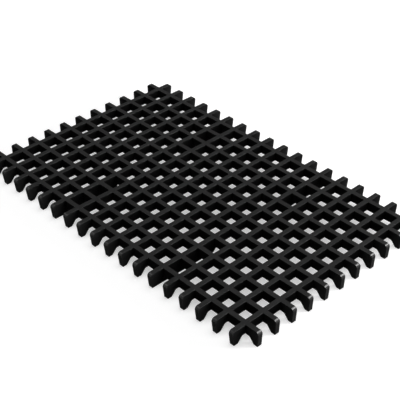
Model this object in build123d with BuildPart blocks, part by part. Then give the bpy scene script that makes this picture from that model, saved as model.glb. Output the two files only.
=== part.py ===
"""Open-grid rubber door mat made of slotted slats.

Cross slats run along Y and long slats run along X.  Long slats are slotted from below and
cross slats from above, so the two sets drop into each other and all their tops are flush.
Every slat stands on a short leg at each end, and two of the cross slats have deep webs that
reach the ground and carry the middle of the mat.

Units are millimetres.  The origin is on the ground under the middle of the mat, +X runs
along the long side and +Z points up.
"""
from build123d import *
from math import cos, radians, tan
import os

# ---- driving dimensions ----
MAT_LENGTH = 600.0          # along X, over the ends of the long slats
MAT_WIDTH = 387.0           # along Y, over the ends of the cross slats
MAT_HEIGHT = 24.4           # ground to tread
CROSS_COUNT = 18            # slats that run along Y
LONG_COUNT = 11             # slats that run along X
SLAT_THICKNESS = 7.8
BAR_DEPTH = 15.3            # tread to the underside between the legs
OVERHANG = 27.3             # from the centre of the last crossing to the end of a slat

END_RADIUS = 5.0            # rounded top corner at each end of a slat
FOOT_LENGTH = 7.0           # flat sole of a leg, along the slat
FOOT_RADIUS = 0.4           # broken corners of the sole
LEG_SLOPE = 42.0            # lean of a leg's inner face from the vertical, degrees
ARCH_RADIUS = 3.0           # hollow corner where the leg meets the underside
CROSS_DRAFT = 7.5           # lean of a cross slat's end face, degrees
LONG_DRAFT = 3.0            # lean of a long slat's end face, degrees

SUPPORT_SLATS = (6, 13)     # cross slats with deep webs, counted from the -X side
WEB_REACH = 94.0            # from the centre of the last crossing to the inner end of a web

# ---- derived dimensions ----
CROSS_SPACING = (MAT_LENGTH - 2 * OVERHANG) / (CROSS_COUNT - 1)
LONG_SPACING = (MAT_WIDTH - 2 * OVERHANG) / (LONG_COUNT - 1)
CLEARANCE = MAT_HEIGHT - BAR_DEPTH
SLOT_DEPTH = BAR_DEPTH / 2
CROSS_PLACES = [(i - (CROSS_COUNT - 1) / 2) * CROSS_SPACING for i in range(CROSS_COUNT)]
LONG_PLACES = [(i - (LONG_COUNT - 1) / 2) * LONG_SPACING for i in range(LONG_COUNT)]


def foot_outer_edge(half_length, draft):
    """Distance from the middle of a slat to the outer edge of its sole."""
    lean = tan(radians(draft))
    top_corner = half_length + END_RADIUS * (1 / cos(radians(draft)) + lean - 1)
    return top_corner - MAT_HEIGHT * lean


def slat_outline(half_length, draft, foot_inner):
    """Draw a slat's side outline, symmetric about its middle, with its soles at zero height.

    foot_inner is the distance from the middle to the inner edge of the sole or web.
    """
    foot_outer = foot_outer_edge(half_length, draft)
    top_corner = foot_outer + MAT_HEIGHT * tan(radians(draft))
    arch_end = foot_inner - CLEARANCE * tan(radians(LEG_SLOPE))
    right = [(arch_end, CLEARANCE), (foot_inner, 0), (foot_outer, 0), (top_corner, MAT_HEIGHT)]
    left = [(-along, height) for along, height in reversed(right)]
    corners = [ARCH_RADIUS, FOOT_RADIUS, FOOT_RADIUS, END_RADIUS]
    FilletPolyline(right + left, radius=corners + corners[::-1], close=True)


os.makedirs("parts", exist_ok=True)

# ---- cross slats, slotted from above ----
cross_foot_inner = foot_outer_edge(MAT_WIDTH / 2, CROSS_DRAFT) - FOOT_LENGTH
web_inner = LONG_PLACES[-1] - WEB_REACH

for number, place in enumerate(CROSS_PLACES, start=1):
    is_support = number in SUPPORT_SLATS
    with BuildPart() as cross_slat:
        with BuildSketch(Plane.YZ.offset(place)):
            with BuildLine():
                slat_outline(MAT_WIDTH / 2, CROSS_DRAFT, web_inner if is_support else cross_foot_inner)
            make_face()
            with Locations([(crossing, MAT_HEIGHT) for crossing in LONG_PLACES]):
                Rectangle(
                    SLAT_THICKNESS,
                    SLOT_DEPTH,
                    align=(Align.CENTER, Align.MAX),
                    mode=Mode.SUBTRACT,
                )
        extrude(amount=SLAT_THICKNESS / 2, both=True)
    kind = "support_slat" if is_support else "cross_slat"
    cross_slat.part.label = f"{kind}_{number:02d}"
    export_step(cross_slat.part, f"parts/{cross_slat.part.label}.step")

# ---- long slats, slotted from below ----
long_foot_inner = foot_outer_edge(MAT_LENGTH / 2, LONG_DRAFT) - FOOT_LENGTH

for number, place in enumerate(LONG_PLACES, start=1):
    with BuildPart() as long_slat:
        with BuildSketch(Plane.XZ.offset(-place)):
            with BuildLine():
                slat_outline(MAT_LENGTH / 2, LONG_DRAFT, long_foot_inner)
            make_face()
            with Locations([(crossing, CLEARANCE) for crossing in CROSS_PLACES]):
                Rectangle(
                    SLAT_THICKNESS,
                    SLOT_DEPTH,
                    align=(Align.CENTER, Align.MIN),
                    mode=Mode.SUBTRACT,
                )
        extrude(amount=SLAT_THICKNESS / 2, both=True)
    long_slat.part.label = f"long_slat_{number:02d}"
    export_step(long_slat.part, f"parts/{long_slat.part.label}.step")

print(f"cross spacing {CROSS_SPACING:.2f} mm, long spacing {LONG_SPACING:.2f} mm")
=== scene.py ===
"""Looks of the open-grid rubber door mat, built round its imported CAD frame.

Every slat is rebuilt as a clean mesh with broken edges in the place of its CAD node, and gets
a moulded black rubber finish.  All lengths are metres, in the frame of the CAD model.
"""
import math

import bmesh
import bpy
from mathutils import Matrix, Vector


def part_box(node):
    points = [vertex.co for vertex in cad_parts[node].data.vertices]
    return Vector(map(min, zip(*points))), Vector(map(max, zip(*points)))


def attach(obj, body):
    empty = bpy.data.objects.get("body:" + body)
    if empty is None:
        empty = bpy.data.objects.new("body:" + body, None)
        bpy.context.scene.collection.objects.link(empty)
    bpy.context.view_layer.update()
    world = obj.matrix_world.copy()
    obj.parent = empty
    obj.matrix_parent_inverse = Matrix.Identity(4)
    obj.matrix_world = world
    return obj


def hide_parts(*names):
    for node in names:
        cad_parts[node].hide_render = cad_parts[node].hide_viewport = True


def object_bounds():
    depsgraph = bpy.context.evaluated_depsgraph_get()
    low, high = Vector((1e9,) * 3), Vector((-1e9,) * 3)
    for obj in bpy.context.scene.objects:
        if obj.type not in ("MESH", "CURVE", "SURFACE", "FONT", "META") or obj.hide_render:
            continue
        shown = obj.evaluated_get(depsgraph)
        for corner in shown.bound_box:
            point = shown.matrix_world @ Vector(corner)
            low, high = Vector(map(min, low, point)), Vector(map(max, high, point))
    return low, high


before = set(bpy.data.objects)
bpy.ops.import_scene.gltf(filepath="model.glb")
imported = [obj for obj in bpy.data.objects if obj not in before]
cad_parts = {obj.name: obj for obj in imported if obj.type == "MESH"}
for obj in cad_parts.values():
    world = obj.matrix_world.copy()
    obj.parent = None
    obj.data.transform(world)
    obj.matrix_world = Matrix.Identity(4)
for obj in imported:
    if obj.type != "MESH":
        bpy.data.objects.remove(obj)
cad_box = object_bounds()

# ---- sizes that the node boxes don't give, the same as in the CAD source ----
BAR_DEPTH = 0.0153          # tread to the underside between the legs
END_RADIUS = 0.005          # rounded top corner at each end of a slat
FOOT_LENGTH = 0.007         # flat sole of a leg, along the slat
FOOT_RADIUS = 0.0004        # broken corners of the sole
LEG_SLOPE = 42.0            # lean of a leg's inner face from the vertical, degrees
ARCH_RADIUS = 0.003         # hollow corner where the leg meets the underside
CROSS_DRAFT = 7.5           # lean of a cross slat's end face, degrees
LONG_DRAFT = 3.0            # lean of a long slat's end face, degrees
WEB_REACH = 0.094           # from the centre of the last crossing to the inner end of a web

# ---- how the meshes are made ----
EDGE_BREAK = 0.00012        # rounding of the edges along both sides of a slat
EDGE_SEGMENTS = 3
ARC_STEP = 6.0              # largest turn between two points of a rounded corner, degrees
SHARP_TURN = 50.0           # faces that turn by more than this meet in a sharp edge, degrees
END_FACING = 0.6            # an end face turns at least this far outward, as a cosine
WORN_EDGE_LIT_END = 1                  # place of the rubber for the worn edges and for the end faces, whose lighter colour is painted light, among a slat's materials
TOUCH = 0.000001            # closer than this is the same place
X_AXIS = 0
Y_AXIS = 1

# ---- what the frame gives ----
MAT_HEIGHT = cad_box[1].z - cad_box[0].z
LONG_HALF = (cad_box[1].x - cad_box[0].x) / 2        # half the length of a long slat
CROSS_HALF = (cad_box[1].y - cad_box[0].y) / 2       # half the length of a cross slat
CLEARANCE = MAT_HEIGHT - BAR_DEPTH
JOINT_HEIGHT = CLEARANCE + BAR_DEPTH / 2     # where the two halves of a half-lap joint meet
CROSS_NODES = sorted(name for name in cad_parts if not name.startswith("long"))
LONG_NODES = sorted(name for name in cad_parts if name.startswith("long"))


# ---- side outlines of the slats ----
def corner_arc(before, corner, after, radius):
    """Points of the arc that rounds a corner, from the side of before to that of after."""
    back = (before - corner).normalized()
    ahead = (after - corner).normalized()
    half_angle = back.angle(ahead) / 2
    turn = math.pi - 2 * half_angle
    centre = corner + (back + ahead).normalized() * radius / math.sin(half_angle)
    start = corner + back * radius / math.tan(half_angle) - centre
    end = corner + ahead * radius / math.tan(half_angle) - centre
    steps = math.ceil(math.degrees(turn) / ARC_STEP)
    shares = [step / steps for step in range(steps + 1)]
    return [
        centre + (start * math.sin((1 - share) * turn) + end * math.sin(share * turn)) / math.sin(turn)
        for share in shares
    ]


def rounded(corners):
    """Closed outline through (along, height, radius) corners, each rounded by its radius."""
    places = [Vector(corner[:2]) for corner in corners]
    points = []
    for index, (_, _, radius) in enumerate(corners):
        if radius == 0:
            points.append(places[index])
        else:
            after = places[(index + 1) % len(places)]
            points += corner_arc(places[index - 1], places[index], after, radius)
    return points


def foot_outer_edge(half_length, draft):
    """Distance from the middle of a slat to the outer edge of its sole."""
    lean = math.tan(math.radians(draft))
    top_corner = half_length + END_RADIUS * (1 / math.cos(math.radians(draft)) + lean - 1)
    return top_corner - MAT_HEIGHT * lean


def slot_corners(crossing, width, mouth_height):
    """Corners of a slot round a crossing, in the order of the outline's way round."""
    side = math.copysign(width / 2, mouth_height - JOINT_HEIGHT)
    return [
        (crossing + side, mouth_height, 0),
        (crossing + side, JOINT_HEIGHT, 0),
        (crossing - side, JOINT_HEIGHT, 0),
        (crossing - side, mouth_height, 0),
    ]


def slat_outline(half_length, draft, foot_inner, crossings, slot_width, from_above):
    """Side outline of a slat, anticlockwise from the arch beside its far leg.

    foot_inner is the distance from the middle to the inner edge of the sole or web.
    """
    foot_outer = foot_outer_edge(half_length, draft)
    top_corner = foot_outer + MAT_HEIGHT * math.tan(math.radians(draft))
    arch_end = foot_inner - CLEARANCE * math.tan(math.radians(LEG_SLOPE))
    far_leg = [
        (arch_end, CLEARANCE, ARCH_RADIUS),
        (foot_inner, 0, FOOT_RADIUS),
        (foot_outer, 0, FOOT_RADIUS),
        (top_corner, MAT_HEIGHT, END_RADIUS),
    ]
    near_leg = [(-along, height, radius) for along, height, radius in reversed(far_leg)]
    top_slots = []
    low_slots = []
    if from_above:
        for crossing in sorted(crossings, reverse=True):
            top_slots += slot_corners(crossing, slot_width, MAT_HEIGHT)
    else:
        for crossing in sorted(crossings):
            low_slots += slot_corners(crossing, slot_width, CLEARANCE)
    return rounded(far_leg + top_slots + near_leg + low_slots)


# ---- slat meshes ----
def edges_to_break(model, across):
    """All edges round both sides of a slat, except those inside its slots, which meet a slat."""
    return [
        edge
        for edge in model.edges
        if abs(edge.verts[0].co[across] - edge.verts[1].co[across]) < TOUCH
        and all(abs(vert.co.z - JOINT_HEIGHT) > TOUCH for vert in edge.verts)
    ]


def is_end_face(face, along, half_length):
    """Whether a face looks out from an end of a slat."""
    place = face.calc_center_median()[along]
    outward = face.normal[along] * math.copysign(1, place)
    return abs(place) > half_length - END_RADIUS and outward > END_FACING


def slat_mesh(name, outline, along, across, middle, thickness):
    """A slat that runs along one axis, from its side outline and its middle across the other."""
    model = bmesh.new()
    sides = []
    for offset in (-thickness / 2, thickness / 2):
        ring = []
        for point in outline:
            place = [0, 0, point.y]
            place[along] = point.x
            place[across] = middle + offset
            ring.append(model.verts.new(place))
        sides.append(ring)
        model.faces.new(ring)
    for index in range(len(outline)):
        after = (index + 1) % len(outline)
        model.faces.new((sides[0][index], sides[0][after], sides[1][after], sides[1][index]))
    bmesh.ops.recalc_face_normals(model, faces=model.faces)
    bmesh.ops.bevel(
        model,
        geom=edges_to_break(model, across),
        offset=EDGE_BREAK,
        segments=EDGE_SEGMENTS,
        profile=0.5,
        affect="EDGES",
        material=WORN_EDGE_LIT_END,
    )
    half_length = max(point.x for point in outline)
    for face in model.faces:
        face.smooth = True
        # the end faces take the lighter rubber, which is painted light on the ends
        if is_end_face(face, along, half_length):
            face.material_index = WORN_EDGE_LIT_END
    mesh = bpy.data.meshes.new(name)
    model.to_mesh(mesh)
    model.free()
    mesh.set_sharp_from_angle(angle=math.radians(SHARP_TURN))
    return mesh


def centre_of(node):
    """Middle of a CAD node's box."""
    low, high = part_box(node)
    return (low + high) / 2


def add_slat(node, along, draft, foot_inner, crossing_nodes, from_above):
    """Stands a rubber slat in the place of a CAD node."""
    across = Y_AXIS if along == X_AXIS else X_AXIS
    low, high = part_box(node)
    thickness = high[across] - low[across]
    outline = slat_outline(
        half_length=(high[along] - low[along]) / 2,
        draft=draft,
        foot_inner=foot_inner,
        crossings=[centre_of(other)[along] for other in crossing_nodes],
        slot_width=thickness,
        from_above=from_above,
    )
    name = "rubber_" + node
    mesh = slat_mesh(name, outline, along, across, centre_of(node)[across], thickness)
    mesh.materials.append(rubber)
    mesh.materials.append(edge_and_lit_end_rubber)
    slat = bpy.data.objects.new(name, mesh)
    bpy.context.scene.collection.objects.link(slat)
    normals = slat.modifiers.new("flat_faces", "WEIGHTED_NORMAL")
    normals.keep_sharp = True
    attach(slat, "root")
    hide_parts(node)


# ---- shader nodes ----
def grey(level):
    """A grey colour of the given level."""
    return (level, level, level, 1)


def fill_in(tree, node, inputs):
    """Gives each named input of a node a value, or a link from another node's output."""
    for name, source in inputs.items():
        if isinstance(source, bpy.types.NodeSocket):
            tree.links.new(source, node.inputs[name])
        else:
            node.inputs[name].default_value = source


def add_node(tree, kind, inputs, **properties):
    """A new shader node with its properties set and its inputs filled in."""
    node = tree.nodes.new(kind)
    for key, value in properties.items():
        setattr(node, key, value)
    fill_in(tree, node, inputs)
    return node


def noise(tree, places, scale, detail, roughness):
    """Smooth noise with a mean of about a half."""
    inputs = {"Vector": places, "Scale": scale, "Detail": detail, "Roughness": roughness}
    return add_node(tree, "ShaderNodeTexNoise", inputs).outputs["Fac"]


def map_range(tree, value, source, target):
    """Scales a value from one range to another, and keeps it inside that."""
    inputs = {
        "Value": value,
        "From Min": source[0],
        "From Max": source[1],
        "To Min": target[0],
        "To Max": target[1],
    }
    return add_node(tree, "ShaderNodeMapRange", inputs).outputs["Result"]


def math_node(tree, operation, *values):
    """The result of an operation on one or two values."""
    return add_node(tree, "ShaderNodeMath", dict(enumerate(values)), operation=operation).outputs["Value"]


def separate(tree, vector):
    """The outputs X, Y and Z of a vector."""
    return add_node(tree, "ShaderNodeSeparateXYZ", {"Vector": vector}).outputs


def bump(tree, height, strength, distance, under=None):
    """Normals of a surface with the given relief, on top of the relief under it."""
    inputs = {"Height": height, "Strength": strength, "Distance": distance}
    if under:
        inputs["Normal"] = under
    return add_node(tree, "ShaderNodeBump", inputs).outputs["Normal"]


# ---- rubber ----
DARKEST_RUBBER = 0.002        # reflectance where nothing greys it: down in the cells, where this darkness is painted shade
RUBBER_SPECULAR = 0.45
SHINE_CHANGE = 0.04         # how far the roughness varies either way, with the waves
GRAIN_HEIGHT = 0.0001
WAVE_HEIGHT = 0.0004

TREAD_GREY_DEPTH = 0.002    # how far down from the tread the rubber is greyed, as wear from feet and as painted light on the tread
RIM_LIGHT_DEPTH = 0.022      # how far in from the rim it is greyed, as painted light on the outer walls
TREAD_GREY = 0.58           # greying of the tread between the scuffs, which is painted light, where 1 is the rim's greying
SCUFF_WEAR = 1.0
SCUFF_ANGLE = 25.0          # from the mat's long side, degrees
SCUFF_STRETCH = 14          # length of a scuff over its width
SCUFF_NOISE = (0.58, 0.7)   # noise at which a scuff begins, and at which it is full
BLOTCH_NOISE = (0.35, 0.65)
BLOTCH_FACTOR = (0.85, 1.15)  # what the greying is multiplied by, from one end of the blotches to the other
WAVE_NOISE = (0.3, 0.7)


def scuffs(tree, places):
    """Faint slanting streaks, brighter along the scrapes."""
    slant = {
        "Vector": places,
        "Rotation": (0, 0, math.radians(SCUFF_ANGLE)),
        "Scale": (SCUFF_STRETCH, 1, 1),
    }
    slanted = add_node(tree, "ShaderNodeMapping", slant, vector_type="TEXTURE").outputs["Vector"]
    return noise(tree, slanted, scale=900, detail=3, roughness=0.55)


def greying_of(tree, places):
    """How greyed the rubber is: most at the rim, as painted light; less on the tread, as scuff wear and
    painted light; and not at all down in the cells, which is painted shade.
    """
    parts = separate(tree, places)
    tread = map_range(tree, parts["Z"], (MAT_HEIGHT - TREAD_GREY_DEPTH, MAT_HEIGHT), (0, 1))
    tread_level = map_range(tree, scuffs(tree, places), SCUFF_NOISE, (TREAD_GREY, SCUFF_WEAR))
    grey_share = math_node(tree, "MULTIPLY", tread, tread_level)
    # painted light on the outer walls near the rim
    for axis, half in (("X", LONG_HALF), ("Y", CROSS_HALF)):
        from_middle = math_node(tree, "ABSOLUTE", parts[axis])
        lit_rim = map_range(tree, from_middle, (half - RIM_LIGHT_DEPTH, half), (0, 1))
        grey_share = math_node(tree, "MAXIMUM", grey_share, lit_rim)
    return grey_share


def make_rubber(name, brightest, roughness):
    """Moulded black rubber: a fine grain, slight waviness, blotches, greyer on the tread as scuff wear
    and painted light, greyer at the rim as painted light, and darkest down in the cells as painted shade.

    brightest is its reflectance where it is greyed most.
    """
    material = bpy.data.materials.new(name)
    material.use_nodes = True
    tree = material.node_tree
    places = add_node(tree, "ShaderNodeTexCoord", {}).outputs["Object"]

    blotches = noise(tree, places, scale=22, detail=5, roughness=0.6)
    grain = noise(tree, places, scale=1900, detail=2, roughness=0.5)
    waves = noise(tree, places, scale=130, detail=2, roughness=0.45)

    patchy = map_range(tree, blotches, BLOTCH_NOISE, BLOTCH_FACTOR)
    greying = {
        "Factor": math_node(tree, "MULTIPLY", greying_of(tree, places), patchy),
        "A": grey(DARKEST_RUBBER),
        "B": grey(brightest),
    }
    colour = add_node(tree, "ShaderNodeMix", greying, data_type="RGBA").outputs["Result"]
    shine = map_range(tree, waves, WAVE_NOISE, (roughness - SHINE_CHANGE, roughness + SHINE_CHANGE))
    grainy = bump(tree, grain, strength=0.4, distance=GRAIN_HEIGHT)
    uneven = bump(tree, waves, strength=0.2, distance=WAVE_HEIGHT, under=grainy)
    fill_in(tree, tree.nodes["Principled BSDF"], {
        "Base Color": colour,
        "Roughness": shine,
        "Specular IOR Level": RUBBER_SPECULAR,
        "Normal": uneven,
    })
    return material


rubber = make_rubber("black_rubber", brightest=0.0085, roughness=0.35)
edge_and_lit_end_rubber = make_rubber("worn_edge_and_lit_end_black_rubber", brightest=0.0130, roughness=0.33)   # edges, greyer as wear, and end faces, lighter as painted light


# ---- the mat ----
cross_foot_inner = foot_outer_edge(CROSS_HALF, CROSS_DRAFT) - FOOT_LENGTH
long_foot_inner = foot_outer_edge(LONG_HALF, LONG_DRAFT) - FOOT_LENGTH
web_inner = max(centre_of(node).y for node in LONG_NODES) - WEB_REACH

for node in CROSS_NODES:
    foot_inner = web_inner if node.startswith("support") else cross_foot_inner
    add_slat(node, Y_AXIS, CROSS_DRAFT, foot_inner, LONG_NODES, from_above=True)
for node in LONG_NODES:
    add_slat(node, X_AXIS, LONG_DRAFT, long_foot_inner, CROSS_NODES, from_above=False)


# ---- floor ----
FLOOR_SIZE = 30.0
FLOOR_REFLECTANCE = 0.82
FLOOR_ROUGHNESS = 0.9
FLOOR_SPECULAR = 0.1
FLOOR_GLOW = 0.45           # light of its own, as a light table has, so that shadows stay pale


def add_floor():
    """A plain pale floor under the mat, which reflections don't show."""
    half = FLOOR_SIZE / 2
    ground = cad_box[0].z
    mesh = bpy.data.meshes.new("studio_floor")
    mesh.from_pydata(
        [(-half, -half, ground), (half, -half, ground), (half, half, ground), (-half, half, ground)],
        [],
        [(0, 1, 2, 3)],
    )
    material = bpy.data.materials.new("pale_floor")
    material.use_nodes = True
    fill_in(material.node_tree, material.node_tree.nodes["Principled BSDF"], {
        "Base Color": grey(FLOOR_REFLECTANCE),
        "Roughness": FLOOR_ROUGHNESS,
        "Specular IOR Level": FLOOR_SPECULAR,
        "Emission Color": grey(1),
        "Emission Strength": FLOOR_GLOW,
    })
    mesh.materials.append(material)
    stage = bpy.data.objects.new("studio_floor", mesh)
    stage.visible_glossy = False
    bpy.context.scene.collection.objects.link(stage)
    return stage


floor = add_floor()


# ---- camera ----
CAMERA_AZIMUTH = 46.5       # 0 looks along +Y and 90 along -X, degrees
CAMERA_ELEVATION = 35.3     # above the horizon, degrees
CAMERA_DISTANCE = 1.529     # from the point it looks at
CAMERA_LENS = 90.0          # mm
SENSOR_WIDTH = 36.0         # mm
AIM = Vector((0.0321, -0.0199, MAT_HEIGHT))     # the point on the tread that it looks at


def toward(azimuth, elevation):
    """Unit vector from the mat towards a viewer or a light, both angles in degrees."""
    turn = math.radians(azimuth)
    rise = math.radians(elevation)
    return Vector((
        math.sin(turn) * math.cos(rise),
        -math.cos(turn) * math.cos(rise),
        math.sin(rise),
    ))


def look_at(thing, place, target):
    """Puts a camera or a light at a place and turns it to a target."""
    thing.location = place
    thing.rotation_euler = (target - place).to_track_quat("-Z", "Y").to_euler()


camera_data = bpy.data.cameras.new("camera")
camera_data.lens = CAMERA_LENS
camera_data.sensor_width = SENSOR_WIDTH
camera = bpy.data.objects.new("camera", camera_data)
look_at(camera, AIM + toward(CAMERA_AZIMUTH, CAMERA_ELEVATION) * CAMERA_DISTANCE, AIM)
bpy.context.scene.collection.objects.link(camera)
bpy.context.scene.camera = camera


# ---- light ----
SOFTBOX_DISTANCE = 3.0
SKY = (
    (-0.01, 0.0),       # nothing below the horizon
    (0.01, 1.35),       # pale walls of the studio
    (0.15, 1.35),
    (0.19, 0.08),       # dim ceiling
)


def keep_off_floor(light):
    """Makes a light pass the floor by, so that it casts no shadows there."""
    receivers = bpy.data.collections.new(light.name + "_receivers")
    receivers.objects.link(floor)
    receivers.collection_objects[0].light_linking.link_state = "EXCLUDE"
    light.light_linking.receiver_collection = receivers


def add_softbox(name, azimuth, elevation, size, radiance, on_floor=True, in_gloss=True):
    """Square area light of an even brightness, facing the mat.

    on_floor says whether it lights the floor, and in_gloss whether reflections show it.
    """
    data = bpy.data.lights.new(name, "AREA")
    data.shape = "SQUARE"
    data.size = size
    data.energy = radiance * math.pi * size * size
    light = bpy.data.objects.new(name, data)
    look_at(light, toward(azimuth, elevation) * SOFTBOX_DISTANCE, Vector((0, 0, 0)))
    light.visible_glossy = in_gloss
    bpy.context.scene.collection.objects.link(light)
    if not on_floor:
        keep_off_floor(light)


def add_sky(levels):
    """Light from all round.  levels are pairs of height, from -1 straight down to 1, and radiance."""
    world = bpy.data.worlds.new("studio")
    world.use_nodes = True
    tree = world.node_tree
    direction = add_node(tree, "ShaderNodeTexCoord", {}).outputs["Generated"]
    place_on_ramp = map_range(tree, separate(tree, direction)["Z"], (-1, 1), (0, 1))
    ramp = add_node(tree, "ShaderNodeValToRGB", {"Fac": place_on_ramp})
    steps = ramp.color_ramp.elements
    steps.remove(steps[1])
    for height, radiance in levels:
        steps.new((height + 1) / 2).color = grey(radiance)
    steps.remove(steps[0])      # the other of the two steps that a ramp starts with
    fill_in(tree, tree.nodes["Background"], {"Color": ramp.outputs["Color"]})
    bpy.context.scene.world = world


add_sky(SKY)
add_softbox("overhead_softbox", azimuth=0, elevation=89.9, size=4.0, radiance=1.6, in_gloss=False)
add_softbox("key_softbox", azimuth=148, elevation=48.5, size=1.7, radiance=14.1, on_floor=False)
add_softbox("fill_softbox", azimuth=-65, elevation=49, size=1.2, radiance=3.0, on_floor=False)
add_softbox("low_softbox", azimuth=138, elevation=10, size=1.0, radiance=36.0, in_gloss=False)
bpy.context.scene.view_settings.view_transform = "Standard"
